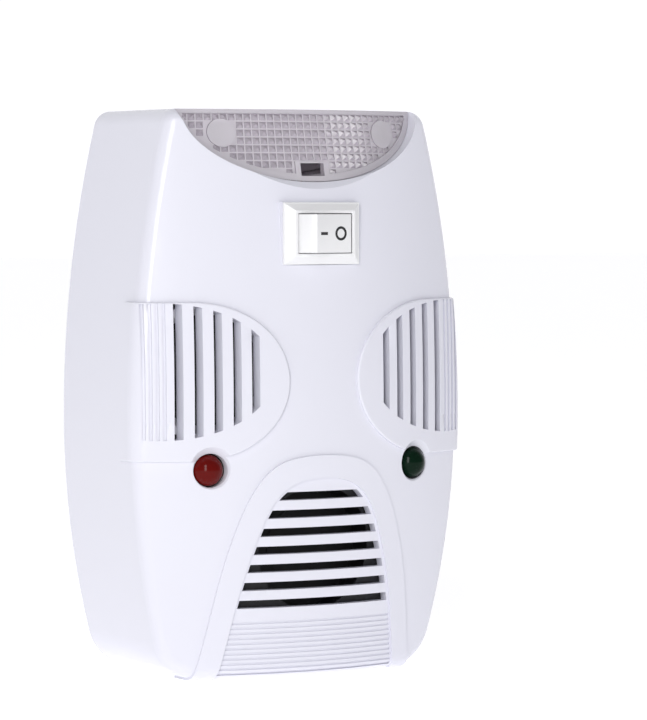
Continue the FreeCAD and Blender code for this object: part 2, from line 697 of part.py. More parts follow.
def switch_spring():
    """Small compression spring between the plunger and the rocker."""
    helix = Part.makeHelix(0.62, 2.2, 0.75)
    start = Part.Wire(Part.makeCircle(0.17, Vector(0.75, 0, 0), Vector(0, 1, 0)))
    spring = Part.Wire(helix).makePipeShell([start], True, False)
    spring.Placement = Placement(PIVOT + FRONT * 0.05, Rotation(UP, FRONT))
    return about_pivot(spring, size("rocker_tilt"))


CONTACT_AXIS = PIVOT + BACK * 5.2


def switch_contact():
    """See-saw contact strip: a round rib on the common blade and a button over the switched blade."""
    strip = Part.makeBox(13.4, 0.5, 4, CONTACT_AXIS + Vector(-6.7, 0, -2))
    button = Part.makeCylinder(1, 0.6, CONTACT_AXIS + Vector(5.8, 0.5, 0), BACK)
    rib = Part.makeCylinder(0.7, 4, CONTACT_AXIS - UP * 2, UP)
    rib = rib.common(Part.makeBox(2, 2, 4, CONTACT_AXIS + Vector(-1, 0, -2)))
    lever = strip.fuse([button, rib])
    lever.rotate(CONTACT_AXIS, UP, -size("contact_tilt"))
    return lever


def terminal(x, top_depth):
    """Flat blade through the switch's rear wall."""
    level = size("switch_level")
    return block(x - 0.4, x + 0.4, BODY_BACK - 8, top_depth, level - 2.3, level + 2.3)


node(feature("SwitchRocker", switch_rocker()), "switch_rocker")
node(feature("SwitchPlunger", switch_plunger()), "switch_plunger")
node(feature("SwitchSpring", switch_spring()), "switch_spring")
node(feature("SwitchContact", switch_contact()), "switch_contact")
BLADE_ENDS = [-CONTACT_AXIS.y - below for below in (0.75, 2.15)]
node(group("SwitchTerminals", [feature(name, terminal(x, end)) for name, x, end in
                               zip(("CommonBlade", "SwitchedBlade"), BLADES, BLADE_ENDS)]),
     "switch_terminals")


# --- Sounders ------------------------------------------------------------------------------------

def sounder_place(x, z, seat_depth, turn):
    """Place of a sounder: its seat at the origin, facing along its own -Y."""
    return Placement(Vector(x, -seat_depth, z), Rotation(UP, turn))


def sounder_frame(place, cavity):
    """Cup that reaches forward to the inside of the front, with a ring seat for the disc."""
    radius = size("sounder_radius")
    cup = Part.makeCylinder(radius, 21, Vector(0, 1, 0), FRONT)
    cup = cup.cut(Part.makeCylinder(radius - 1.8, 30, Vector(), FRONT))
    cup = cup.cut(Part.makeCylinder(11, 30, Vector(0, 5, 0), FRONT))
    cup.Placement = place
    return cup.common(cavity)


def grille_backing(cup):
    """Plate behind the front grille, in one piece with the cup of the front sounder."""
    layer = SOUNDER_ROOM.cut(housing_form(-size("wall") - 1.55, rounded=False))
    plate = layer.common(arch_prism(size("arch_frame") - 0.6, 36, FAR))
    plate = plate.common(block(-25, 25, 36, FAR, BOTTOM + 10, -20))
    return cup.fuse(plate.cut(Part.makeCylinder(size("sounder_radius") - 1, FAR, Vector(0, 0, -40.4), FRONT)))


def piezo_disc(place):
    """Brass disc with its ceramic layer, cemented on the ring seat."""
    disc = Part.makeCylinder(size("disc_radius"), 0.3, Vector(), FRONT)
    disc = disc.fuse(Part.makeCylinder(9.5, 0.25, Vector(0, -0.3, 0), FRONT))
    disc.Placement = place
    return disc


SOUNDERS = {
    "left": sounder_place(-size("sounder_side"), size("slot_level"), 36.7, -size("sounder_turn")),
    "right": sounder_place(size("sounder_side"), size("slot_level"), 36.7, size("sounder_turn")),
    "front": sounder_place(0, -40.4, 38.4, 0),
}
SOUNDER_ROOM = housing_form(-size("wall") - 0.05, rounded=False)
for name, place in SOUNDERS.items():
    frame = sounder_frame(place, SOUNDER_ROOM)
    if name == "front":
        frame = grille_backing(frame)
    node(feature(f"{name}Frame", frame), f"{name}_sounder_frame")
    node(feature(f"{name}Disc", piezo_disc(place)), f"{name}_piezo_disc")


# --- Indicators and main board -------------------------------------------------------------------

BOARD_FRONT = size("board_depth") + size("board_thickness")
LED_START = 37.0                  # depth of the underside of the indicator rims


def indicator(name, side):
    """Indicator lamp on the left (-1) or right (1) of the front."""
    body = size("led_tip") - LED_START - size("led_radius")
    return small_led(name, side * size("led_side"), size("led_level"), size("led_radius"), LED_START,
                     body, 1)


def led_legs(side):
    """Two straight legs from the board to an indicator."""
    x, z = side * size("led_side"), size("led_level")
    return [rod(f"Leg{side + 1}{step + 1}", 0.28, LED_START - BOARD_FRONT, (x, -BOARD_FRONT, z + step * 1.3),
                FRONT) for step in (-1, 1)]


node(indicator("RedLed", -1), "red_led")
node(indicator("GreenLed", 1), "green_led")
node(group("LedLegs", led_legs(-1) + led_legs(1)), "led_legs")


def main_board():
    """Circuit board as a sketched pad with its screw holes."""
    body = doc.addObject("PartDesign::Body", "BoardBody")
    sketch = body.newObject("Sketcher::SketchObject", "BoardOutline")
    plane = next(item for item in body.Origin.OriginFeatures if item.Role == "XZ_Plane")
    sketch.AttachmentSupport = [(plane, "")]
    sketch.MapMode = "FlatFace"
    half = size("board_half_width")
    low, high = size("board_bottom"), size("board_top")
    corners = [Vector(-half, low, 0), Vector(half, low, 0), Vector(half, high, 0), Vector(-half, high, 0)]
    for start, end in zip(corners, corners[1:] + corners[:1]):
        sketch.addGeometry(Part.LineSegment(start, end), False)
    for x, z in BOARD_POSTS:
        sketch.addGeometry(Part.Circle(Vector(x, z, 0), Vector(0, 0, 1), 1.3), False)
    pad = body.newObject("PartDesign::Pad", "BoardPad")
    pad.Profile = sketch
    pad.Reversed = False
    bind(pad, Length="board_thickness")
    doc.recompute()
    front = pad.Shape.BoundBox.YMin < -0.1
    body.Placement = Placement(Vector(0, -size("board_depth") - (0 if front else size("board_thickness")), 0),
                               Rotation())
    return body


node(main_board(), "main_board")
BOARD_SCREWS = [screw(f"BoardScrew{index}", (x, -BOARD_FRONT - 1.3, z), (2.1, 1.3), (0.95, 7), BACK)
                for index, (x, z) in enumerate(BOARD_POSTS)]
node(group("BoardScrews", BOARD_SCREWS), "board_screws")


def pin_contact(name, side):
    """Brass strip from a pin's foot to the main board."""
    x = f"{side} * pin_spread / 2"
    return joined(name, [box(f"{name}Foot", (4, 0.5, 6), (f"{x} - 2", "-9.5 - 1", -3)),
                         box(f"{name}Leg", (3, "board_depth - 10", 0.5), (f"{x} - 1.5", "-board_depth", 2.5))])


node(group("PinContacts", [pin_contact("ContactLeft", -1), pin_contact("ContactRight", 1)]),
     "pin_contacts")


def lying_part(name, radius, length, middle, lift):
    """Axial part lying on the board along X, with its two bent legs."""
    x, z = middle
    deep = BOARD_FRONT + lift
    barrel = rod(f"{name}Barrel", radius, length, (x - length / 2, -deep, z), Vector(1, 0, 0))
    reach = length + 3
    lead = rod(f"{name}Lead", 0.3, reach, (x - reach / 2, -deep, z), Vector(1, 0, 0))
    legs = [rod(f"{name}Leg{end + 1}", 0.25, lift, (x + end * (reach / 2 - 0.4), -BOARD_FRONT, z), FRONT)
            for end in (-1, 1)]
    return joined(name, [barrel, lead] + legs)


def standing_part(name, radius, height, middle):
    """Round part standing on the board."""
    return rod(name, radius, height, (middle[0], -BOARD_FRONT, middle[1]), FRONT)


def board_block(name, lengths, middle, lift=0):
    """Box on the board: lengths along X, out of the board and along Z."""
    return box(name, (lengths[0], lengths[1], lengths[2]),
               (middle[0] - lengths[0] / 2, -BOARD_FRONT - lift - lengths[1], middle[1] - lengths[2] / 2))


node(lying_part("Fuse", 1.8, 9, (-18, 14), 2.2), "fuse")
node(board_block("DropperCapacitor", (17, 13, 7.5), (0, 12)), "dropper_capacitor")
node(group("SmoothingCapacitors", [standing_part("SmootherOne", 4, 12, (-5, -28)),
                                   standing_part("SmootherTwo", 3.15, 11, (4, -28))]),
     "smoothing_capacitors")
node(group("Diodes", [lying_part(f"Diode{index}", 1.1, 4.5, (-18, 7 - 3.6 * index), 1.4)
                      for index in range(4)]), "rectifier_diodes")


def driver_chip():
    """Eight-leg oscillator chip."""
    case = board_block("ChipCase", (9.3, 3.3, 6.4), (18, -8), 0.6)
    legs = [board_block(f"ChipLeg{index}{side + 1}", (0.5, 2.2, 0.6),
                        (14.2 + 2.54 * index, -8 + side * 3.6)) for index in range(4) for side in (-1, 1)]
    return joined("DriverChip", [case] + legs + [board_block("ChipRail", (8.1, 0.6, 7.4), (18, -8), 1.6)])


def transistor(name, middle):
    """Small round-backed transistor on three legs."""
    case = rod(f"{name}Round", 2.3, 4.6, (middle[0], -BOARD_FRONT - 2, middle[1]), FRONT)
    flat = board_block(f"{name}Flat", (6, 6, 2), (middle[0], middle[1] + 2.4), 1)
    legs = [board_block(f"{name}Leg{step + 1}", (0.45, 2.4, 0.45), (middle[0] + 1.27 * step, middle[1]))
            for step in (-1, 0, 1)]
    return joined(name, [less(f"{name}Case", case, flat)] + legs)


node(driver_chip(), "driver_chip")
node(group("Transistors", [transistor(f"Transistor{index}", (9 + 8 * index, -20)) for index in range(3)]),
     "transistors")
node(group("Resistors", [lying_part(f"Resistor{index}", 1.15, 6, (19, 3 + 3.6 * index), 1.5)
                         for index in range(5)]), "resistors")


def drive_coil(name, middle):
    """Small drum-core coil that steps up the drive of one sounder."""
    return joined(name, [standing_part(f"{name}Base", 4, 1, middle),
                         standing_part(f"{name}Winding", 3.4, 9, middle),
                         rod(f"{name}Cap", 4, 1, (middle[0], -BOARD_FRONT - 9, middle[1]), FRONT)])


node(group("DriveCoils", [drive_coil(f"Coil{index}", (-24 + 9.5 * index, -16)) for index in range(2)]
           + [drive_coil("Coil2", (-14, -30))]), "drive_coils")


# --- Inner wires ---------------------------------------------------------------------------------

def wire(points):
    """Insulated wire: straight runs joined by tangent arcs."""
    edges, start = [], points[0]
    for before, corner, after in zip(points, points[1:], points[2:]):
        inward, outward = (before - corner), (after - corner)
        shorter = min(inward.Length, outward.Length)
        inward.normalize()
        outward.normalize()
        setback = 0.45 * shorter
        first, last = corner + inward * setback, corner + outward * setback
        half_angle = inward.getAngle(outward) / 2
        bisector = (inward + outward).normalize()
        radius = setback * math.tan(half_angle)
        middle = corner + bisector * (radius / math.sin(half_angle) - radius)
        edges += [Part.makeLine(start, first), Part.Arc(first, middle, last).toShape()]
        start = last
    edges.append(Part.makeLine(start, points[-1]))
    path = Part.Wire(edges)
    section = Part.Wire(Part.makeCircle(size("wire_radius"), points[0], points[1] - points[0]))
    return path.makePipeShell([section], True, False)


def wire_pair(name, label, start, end, gap_start, gap_end, via):
    """Two wires side by side from the board to a part; via lists the points between."""
    solids = []
    for side in (-0.5, 0.5):
        points = [start + gap_start * side] + [point + gap_start * side for point in via] + [end + gap_end * side]
        solids.append(feature(f"{name}{'AB'[side > 0]}", wire(points)))
    return node(group(name, solids), label)


FACE = -BOARD_FRONT
ACROSS = Vector(6.2, 0, 0)        # spacing of the two switch blades
CLOSE = Vector(2, 0, 0)
wire_pair("SwitchWires", "switch_wires", Vector(3.1, FACE, 25), Vector(3.1, -BODY_BACK + 8, 36),
          ACROSS, ACROSS, [Vector(3.1, FACE - 2.6, 25), Vector(3.1, FACE - 2.6, 36)])
wire_pair("LampWires", "lamp_wires", Vector(12, FACE, 25), Vector(9, -TRAY_FRONT + 0.05, 57), CLOSE, CLOSE,
          [Vector(12, FACE - 2.6, 25), Vector(11, FACE - 2.8, 42), Vector(9, FACE - 2.8, 57)])
for name, side in (("left", -1), ("right", 1)):
    wire_pair(f"{name}Wires", f"{name}_sounder_wires", Vector(side * 8, FACE, -4),
              Vector(side * 21, -35.8, -2), Vector(0, 0, 2), Vector(0, 0, 2),
              [Vector(side * 8, FACE - 6, -4), Vector(side * 17, FACE - 11, -3)])
wire_pair("FrontWires", "front_sounder_wires", Vector(0, FACE, -36), Vector(0, -37.8, -42),
          CLOSE, CLOSE, [Vector(0, FACE - 7, -36), Vector(0, FACE - 13, -40)])
doc.recompute()


def check_and_write():
    """Write every node once the whole document is sound."""
    for obj in doc.Objects:
        if {"Invalid", "Error"} & set(obj.State):
            raise RuntimeError(f"{obj.Name} failed: {obj.State}")
    os.makedirs("parts", exist_ok=True)
    for obj in NODES:
        shape = obj.Shape
        if shape.isNull() or not shape.isValid():
            raise RuntimeError(f"{obj.Label} has no valid shape")
        shape.exportStep(f"parts/{obj.Label}.step")
        box_of = shape.optimalBoundingBox()
        print(f"{obj.Label:24s} {len(shape.Solids)} solids {shape.Volume:9.1f} mm3  "
              f"{box_of.XLength:.1f} x {box_of.YLength:.1f} x {box_of.ZLength:.1f}")


check_and_write()
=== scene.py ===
# %% [markdown]
# # A plug-in ultrasonic pest repeller
# The housing, its grilles and every moving part come ready made from the engineering model, which
# is loaded here as a fixed frame. This file gives each part its finish and makes the few pieces that
# need finer shapes than the engineering model holds: the prisms of the night-light lens, the
# indicator domes, the softened switch and its marks. Everything is in metres. The front faces -Y,
# X runs to the right and Z runs up.

import json
import math

import bmesh
import bpy
from mathutils import Matrix, Vector


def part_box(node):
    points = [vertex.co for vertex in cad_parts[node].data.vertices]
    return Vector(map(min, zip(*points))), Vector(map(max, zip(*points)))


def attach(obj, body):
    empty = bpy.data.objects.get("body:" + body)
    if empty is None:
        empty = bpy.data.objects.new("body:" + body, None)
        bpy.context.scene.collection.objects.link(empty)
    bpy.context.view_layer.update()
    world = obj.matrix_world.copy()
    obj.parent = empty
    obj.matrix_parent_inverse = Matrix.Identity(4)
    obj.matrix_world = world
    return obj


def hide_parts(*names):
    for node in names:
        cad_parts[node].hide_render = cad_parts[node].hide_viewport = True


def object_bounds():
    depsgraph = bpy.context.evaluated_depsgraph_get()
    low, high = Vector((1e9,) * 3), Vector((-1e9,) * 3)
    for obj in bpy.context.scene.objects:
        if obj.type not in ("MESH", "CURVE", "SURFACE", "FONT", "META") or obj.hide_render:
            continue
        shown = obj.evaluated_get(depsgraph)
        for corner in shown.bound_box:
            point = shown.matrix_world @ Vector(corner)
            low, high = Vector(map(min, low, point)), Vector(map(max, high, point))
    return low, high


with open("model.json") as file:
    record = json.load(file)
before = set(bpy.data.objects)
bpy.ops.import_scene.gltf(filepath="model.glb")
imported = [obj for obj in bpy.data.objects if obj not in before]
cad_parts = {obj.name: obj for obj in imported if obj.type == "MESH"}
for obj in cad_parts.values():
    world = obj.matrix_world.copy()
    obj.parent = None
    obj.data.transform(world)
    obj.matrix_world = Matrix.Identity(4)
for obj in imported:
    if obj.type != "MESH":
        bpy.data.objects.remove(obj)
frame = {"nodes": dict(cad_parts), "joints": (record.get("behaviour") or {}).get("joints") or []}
cad_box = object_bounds()
nodes = frame["nodes"]
MM = 0.001

# %% [markdown]
# ## Camera
# A long lens keeps the upright edges of a small product nearly parallel, which is how such objects
# are usually shown. The camera stands to the left of the object and a little above its middle. It is
# placed by an aim point, a distance and two angles, so the view is easy to change.

# %% Camera
AIM = Vector((21.3, -13.2, 3.6)) * MM
DISTANCE = 949.4 * MM
TURN = math.radians(30)
TILT = math.radians(2.44)
SENSOR_WIDTH, FOCAL_LENGTH = 36, 208.7  # in millimetres, as on a real lens


def place_camera():
    """Camera that looks at AIM from the front left."""
    data = bpy.data.cameras.new("camera")
    camera = bpy.data.objects.new("camera", data)
    bpy.context.scene.collection.objects.link(camera)
    sight = Vector((math.sin(TURN) * math.cos(TILT), math.cos(TURN) * math.cos(TILT), -math.sin(TILT)))
    camera.location = AIM - sight * DISTANCE
    camera.rotation_euler = sight.to_track_quat("-Z", "Y").to_euler()
    data.sensor_fit = "HORIZONTAL"
    data.sensor_width = SENSOR_WIDTH
    data.lens = FOCAL_LENGTH
    data.clip_start = 0.05
    data.clip_end = 20
    bpy.context.scene.camera = camera
    return camera


camera = place_camera()
print("camera at", [round(value, 3) for value in camera.location])

# %% [markdown]
# ## Floor and light
# A glossy white object on a white ground is drawn by soft reflections only. The world is a studio
# with a bright wall behind the object and dimmer air all round, and one tall soft panel at the front
# left lights the curved front, which gives it a slow change of tone from left to right. The floor
# glows a little, so it stays white like a lit table, and still takes the contact shadow. The
# standard colour transform keeps white as white.

# %% Floor
FLOOR_LEVEL = cad_box[0][2]
FLOOR_REACH = 6.0
FLOOR_GLOW = 0.54


def make_floor(level, reach):
    """Large pale sheet just under the object."""
    mesh = bpy.data.meshes.new("floor")
    mesh.from_pydata([(-reach, -reach, level), (reach, -reach, level), (reach, reach, level),
                      (-reach, reach, level)], [], [(0, 1, 2, 3)])
    floor = bpy.data.objects.new("floor", mesh)
    bpy.context.scene.collection.objects.link(floor)
    paint = bpy.data.materials.new("floor_white")
    paint.use_nodes = True
    shader = paint.node_tree.nodes["Principled BSDF"]
    shader.inputs["Base Color"].default_value = (0.90, 0.90, 0.91, 1)
    shader.inputs["Roughness"].default_value = 0.8
    shader.inputs["Specular IOR Level"].default_value = 0.1
    shader.inputs["Emission Color"].default_value = (1, 1, 1, 1)
    shader.inputs["Emission Strength"].default_value = FLOOR_GLOW
    mesh.materials.append(paint)


make_floor(FLOOR_LEVEL, FLOOR_REACH)
print("floor at", round(FLOOR_LEVEL, 4))


# %% Light
def panel_light(name, place, target, width, height, power):
    """Soft rectangular light that faces a target."""
    data = bpy.data.lights.new(name, "AREA")
    data.shape = "RECTANGLE"
    data.size = width
    data.size_y = height
    data.energy = power
    light = bpy.data.objects.new(name, data)
    light.location = place
    light.rotation_euler = (Vector(target) - Vector(place)).to_track_quat("-Z", "Y").to_euler()
    bpy.context.scene.collection.objects.link(light)


def studio_world(bright, dim, towards):
    """World that is bright in one direction and dim in the other, with a soft change between."""
    world = bpy.data.worlds.new("studio")
    world.use_nodes = True
    tree, link = world.node_tree.nodes, world.node_tree.links.new
    place = tree.new("ShaderNodeTexCoord")
    along = tree.new("ShaderNodeVectorMath")
    along.operation = "DOT_PRODUCT"
    along.inputs[1].default_value = Vector(towards).normalized()
    tone = tree.new("ShaderNodeMapRange")
    tone.interpolation_type = "SMOOTHSTEP"
    tone.inputs["From Min"].default_value = 0.1
    tone.inputs["From Max"].default_value = 0.85
    tone.inputs["To Min"].default_value = dim
    tone.inputs["To Max"].default_value = bright
    sky = tree["Background"]
    sky.inputs["Color"].default_value = (0.97, 0.97, 1.0, 1)
    link(place.outputs["Generated"], along.inputs[0])
    link(along.outputs["Value"], tone.inputs["Value"])
    link(tone.outputs["Result"], sky.inputs["Strength"])
    bpy.context.scene.world = world


panel_light("left_panel", place=(-0.9, -1.15, 0.5), target=(0, 0, 0), width=0.4, height=1.1, power=12)
studio_world(bright=1.08, dim=0.28, towards=(0.45, 0.87, 0.1))
bpy.context.scene.view_settings.view_transform = "Standard"
print("lights:", len(bpy.data.lights), "world:", bpy.context.scene.world.name)

# %% [markdown]
# ## Finishes
# Injection-moulded plastic isn't perfectly even: its gloss wavers a little and its skin has a very
# faint ripple; metal, epoxy and wire vary in the same way, by other amounts. One shader node group
# makes those signals from noise on object coordinates, and every material uses it with its own
# amounts. The group only puts out a colour, a roughness and a height; the shader itself stays in
# each material, so gloss keeps working everywhere.


# %% Moulded-skin group
BROAD_SCALE = 45                        # patches of slow change, a few to each face of the housing


def add_socket(group, name, kind, direction, value=None):
    """New named socket on a node group, with its starting value."""
    socket = group.interface.new_socket(name=name, in_out=direction, socket_type=f"NodeSocket{kind}")
    if value is not None:
        socket.default_value = value
    return socket


def moulded_skin():
    """Node group: uneven gloss, slight mottling of the colour and a faint ripple."""
    group = bpy.data.node_groups.new("moulded_skin", "ShaderNodeTree")
    add_socket(group, "Color", "Color", "INPUT", (0.8, 0.8, 0.8, 1))
    add_socket(group, "Shade", "Color", "INPUT", (0.7, 0.7, 0.7, 1))
    add_socket(group, "Mottle", "Float", "INPUT", 0.1)
    add_socket(group, "Gloss Low", "Float", "INPUT", 0.2)
    add_socket(group, "Gloss High", "Float", "INPUT", 0.3)
    add_socket(group, "Ripple Scale", "Float", "INPUT", 300.0)
    add_socket(group, "Color", "Color", "OUTPUT")
    add_socket(group, "Roughness", "Float", "OUTPUT")
    add_socket(group, "Height", "Float", "OUTPUT")
    tree, link = group.nodes, group.links.new
    given, out = tree.new("NodeGroupInput"), tree.new("NodeGroupOutput")
    place = tree.new("ShaderNodeTexCoord")
    broad, fine = tree.new("ShaderNodeTexNoise"), tree.new("ShaderNodeTexNoise")
    broad.inputs["Scale"].default_value = BROAD_SCALE
    broad.inputs["Detail"].default_value = 3
    fine.inputs["Detail"].default_value = 2
    amount = tree.new("ShaderNodeMath")
    amount.operation = "MULTIPLY"
    blend = tree.new("ShaderNodeMix")
    blend.data_type = "RGBA"
    gloss = tree.new("ShaderNodeMapRange")
    link(place.outputs["Object"], broad.inputs["Vector"])
    link(place.outputs["Object"], fine.inputs["Vector"])
    link(given.outputs["Ripple Scale"], fine.inputs["Scale"])
    link(broad.outputs["Fac"], amount.inputs[0])
    link(given.outputs["Mottle"], amount.inputs[1])
    link(amount.outputs[0], blend.inputs["Factor"])
    link(given.outputs["Color"], blend.inputs["A"])
    link(given.outputs["Shade"], blend.inputs["B"])
    link(broad.outputs["Fac"], gloss.inputs["Value"])
    link(given.outputs["Gloss Low"], gloss.inputs["To Min"])
    link(given.outputs["Gloss High"], gloss.inputs["To Max"])
    link(blend.outputs["Result"], out.inputs["Color"])
    link(gloss.outputs["Result"], out.inputs["Roughness"])
    link(fine.outputs["Fac"], out.inputs["Height"])
    return group


SKIN = moulded_skin()
print("group", SKIN.name, "inputs", [item.name for item in SKIN.interface.items_tree])


# %% Material from the group
RIPPLE_DEPTH = 0.2 * MM
SHADE_SHARE = 0.94                      # how dark the mottled patches get, where no shade is given


def moulded(name, colour, shade=None, mottle=0.25, gloss=(0.25, 0.35), ripple=(400, 0.02), shine=0.5,
            transmission=0.0, metal=0.0):
    """Material whose colour, gloss and ripple come from the moulded-skin group."""
    material = bpy.data.materials.new(name)
    material.use_nodes = True
    tree, link = material.node_tree.nodes, material.node_tree.links.new
    shader = tree["Principled BSDF"]
    skin = tree.new("ShaderNodeGroup")
    skin.node_tree = SKIN
    bump = tree.new("ShaderNodeBump")
    shade = shade or tuple(value * SHADE_SHARE for value in colour)
    skin.inputs["Color"].default_value = (*colour, 1)
    skin.inputs["Shade"].default_value = (*shade, 1)
    skin.inputs["Mottle"].default_value = mottle
    skin.inputs["Gloss Low"].default_value = gloss[0]
    skin.inputs["Gloss High"].default_value = gloss[1]
    skin.inputs["Ripple Scale"].default_value = ripple[0]
    bump.inputs["Strength"].default_value = ripple[1]
    bump.inputs["Distance"].default_value = RIPPLE_DEPTH
    shader.inputs["Specular IOR Level"].default_value = shine
    shader.inputs["Transmission Weight"].default_value = transmission
    shader.inputs["Metallic"].default_value = metal
    link(skin.outputs["Color"], shader.inputs["Base Color"])
    link(skin.outputs["Roughness"], shader.inputs["Roughness"])
    link(skin.outputs["Height"], bump.inputs["Height"])
    link(bump.outputs["Normal"], shader.inputs["Normal"])
    return material


# %% [markdown]
# ## Finish of each part
# The shell is a glossy, slightly bluish white and its cover a duller one with a spark-eroded grain.
# The lens and lamps are clear or deeply tinted, the pins and screws are plated. Each material is one
# call with its colour, the colour of its patches and how much of that shows, its range of gloss, and
# the scale and strength of its ripple. Kept parts only get a material; their shape isn't touched.

# %% Finishes that show
SHELL_WHITE = moulded("shell_white", (0.76, 0.76, 0.835), (0.755, 0.75, 0.825), 0.2, (0.25, 0.28),
                      (260, 0.012))
COVER_WHITE = moulded("cover_white", (0.78, 0.78, 0.82), (0.74, 0.74, 0.79), 0.3, (0.45, 0.6),
                      (2600, 0.6))
SWITCH_WHITE = moulded("switch_white", (0.83, 0.83, 0.84), (0.79, 0.79, 0.80), 0.2, (0.25, 0.32),
                       (400, 0.04))
# The tray and the lamp board are a darker mauve-grey than white: painted shade for the dim inside of the
# lamp, seen through the lens.
TRAY_SHADED_MAUVE = moulded("tray_white", (0.72, 0.68, 0.73), None, 0.3, (0.2, 0.3), (300, 0.03))
FRAME_WHITE = moulded("frame_white", (0.72, 0.72, 0.75), None, 0.3, (0.4, 0.5), (900, 0.1))
MARK_BLACK = moulded("mark_ink", (0.012, 0.012, 0.014), None, 0.3, (0.4, 0.5), (900, 0.05))
LENS = moulded("lens_clear", (0.83, 0.78, 0.84), (0.76, 0.70, 0.78), 0.4, (0.12, 0.18), (300, 0.02),
               shine=0.25, transmission=0.62)
LENS_PLAIN = moulded("lens_plain", (0.88, 0.84, 0.90), None, 0.3, (0.10, 0.16), (300, 0.02),
                     transmission=0.4)
RED_EPOXY = moulded("red_epoxy", (0.12, 0.004, 0.003), None, 0.4, (0.10, 0.14), (300, 0.02),
                    shine=0.12)
GREEN_EPOXY = moulded("green_epoxy", (0.002, 0.013, 0.006), None, 0.4, (0.10, 0.14), (300, 0.02),
                      shine=0.1)
FRAME_BLACK = moulded("frame_black", (0.006, 0.006, 0.007), None, 0.3, (0.5, 0.6), (900, 0.1))
CLEAR = moulded("clear_epoxy", (0.9, 0.88, 0.85), None, 0.1, (0.03, 0.06), (300, 0.0), transmission=0.9)
STEEL = moulded("plated_steel", (0.55, 0.55, 0.57), None, 0.4, (0.25, 0.4), (1500, 0.1), metal=1.0)
NICKEL = moulded("nickel", (0.74, 0.73, 0.70), None, 0.3, (0.16, 0.3), (1200, 0.08), metal=1.0)
BRASS = moulded("brass", (0.72, 0.52, 0.22), None, 0.4, (0.25, 0.4), (1200, 0.1), metal=1.0)
SLEEVE_BLACK = moulded("sleeve_black", (0.02, 0.02, 0.022), None, 0.3, (0.35, 0.5), (1500, 0.15))
print("materials so far:", len(bpy.data.materials))

# %% Finishes inside
BOARD_GREEN = moulded("board_green", (0.02, 0.16, 0.07), (0.03, 0.22, 0.10), 0.5, (0.3, 0.4),
                      (500, 0.1))
PART_BLACK = moulded("part_black", (0.02, 0.02, 0.02), None, 0.4, (0.4, 0.55), (1500, 0.2))
PART_RED = moulded("part_red", (0.42, 0.08, 0.05), None, 0.4, (0.2, 0.35), (500, 0.15))
PART_BLUE = moulded("part_blue", (0.03, 0.07, 0.24), None, 0.3, (0.25, 0.35), (500, 0.08))
PART_TAN = moulded("part_tan", (0.55, 0.40, 0.24), None, 0.4, (0.3, 0.45), (900, 0.15))
GLASS = moulded("fuse_glass", (0.9, 0.93, 0.93), None, 0.1, (0.02, 0.05), (300, 0.0), transmission=0.95)
FERRITE = moulded("ferrite", (0.06, 0.06, 0.065), None, 0.4, (0.45, 0.6), (1800, 0.25))
WIRE_RED = moulded("wire_red", (0.45, 0.04, 0.03), None, 0.3, (0.35, 0.45), (900, 0.1))
print("all materials:", len(bpy.data.materials))


# %% Finish the kept parts
def finish_nodes(material, *names):
    """Give these engineering parts one material."""
    for name in names:
        mesh = nodes[name].data
        mesh.materials.clear()
        mesh.materials.append(material)


finish_nodes(SHELL_WHITE, "front_shell")
finish_nodes(COVER_WHITE, "back_cover")
finish_nodes(SWITCH_WHITE, "switch_plunger")
# The lamp tray and its board carry the painted shade of the lamp's inside.
finish_nodes(TRAY_SHADED_MAUVE, "lamp_tray", "lamp_board")
finish_nodes(FRAME_WHITE, "left_sounder_frame", "right_sounder_frame")
finish_nodes(FRAME_BLACK, "front_sounder_frame", "front_piezo_disc", "left_piezo_disc",
             "right_piezo_disc")
finish_nodes(CLEAR, "lamp_leds")
finish_nodes(STEEL, "housing_screws", "lens_screws", "board_screws", "switch_spring", "led_legs")
finish_nodes(NICKEL, "plug_pin_left", "plug_pin_right")
finish_nodes(BRASS, "switch_contact", "switch_terminals", "pin_contacts")
finish_nodes(SLEEVE_BLACK, "pin_sleeves")
finish_nodes(BOARD_GREEN, "main_board")
finish_nodes(PART_BLACK, "rectifier_diodes", "driver_chip", "transistors")
finish_nodes(PART_RED, "dropper_capacitor")
finish_nodes(PART_BLUE, "smoothing_capacitors")
finish_nodes(PART_TAN, "resistors")
finish_nodes(GLASS, "fuse")
finish_nodes(FERRITE, "drive_coils")
finish_nodes(WIRE_RED, "switch_wires", "lamp_wires", "left_sounder_wires", "right_sounder_wires",
             "front_sounder_wires")
print("parts finished:", sum(1 for node in nodes.values() if node.data.materials))

# %% [markdown]
# ## Switch
# The real bezel and rocker come from a mould with small radii on every edge, and those radii catch
# the light. A copy of each engineering part is merged into one skin, its flat faces are joined
# again, and a Bevel modifier rounds what is left: the true edges.


# %% Softened copies
SAME_POINT = 2e-6                       # corners nearer than this are one
FLAT_WITHIN = math.radians(1.5)
TRUE_EDGE = math.radians(28)            # a fold sharper than this gets a radius
CREASED = math.radians(35)


def settle(piece):
    """Turn a piece with modifiers into a plain mesh."""
    bpy.context.view_layer.update()
    seen = piece.evaluated_get(bpy.context.evaluated_depsgraph_get())
    plain = bpy.data.meshes.new_from_object(seen)
    piece.modifiers.clear()
    piece.data = plain


def merged_copy(node, name):
    """Copy of an engineering part with its loose triangles merged."""
    mesh = nodes[node].data.copy()
    work = bmesh.new()
    work.from_mesh(mesh)
    bmesh.ops.remove_doubles(work, verts=work.verts, dist=SAME_POINT)
    work.to_mesh(mesh)
    work.free()
    piece = bpy.data.objects.new(name, mesh)
    bpy.context.scene.collection.objects.link(piece)
    return piece


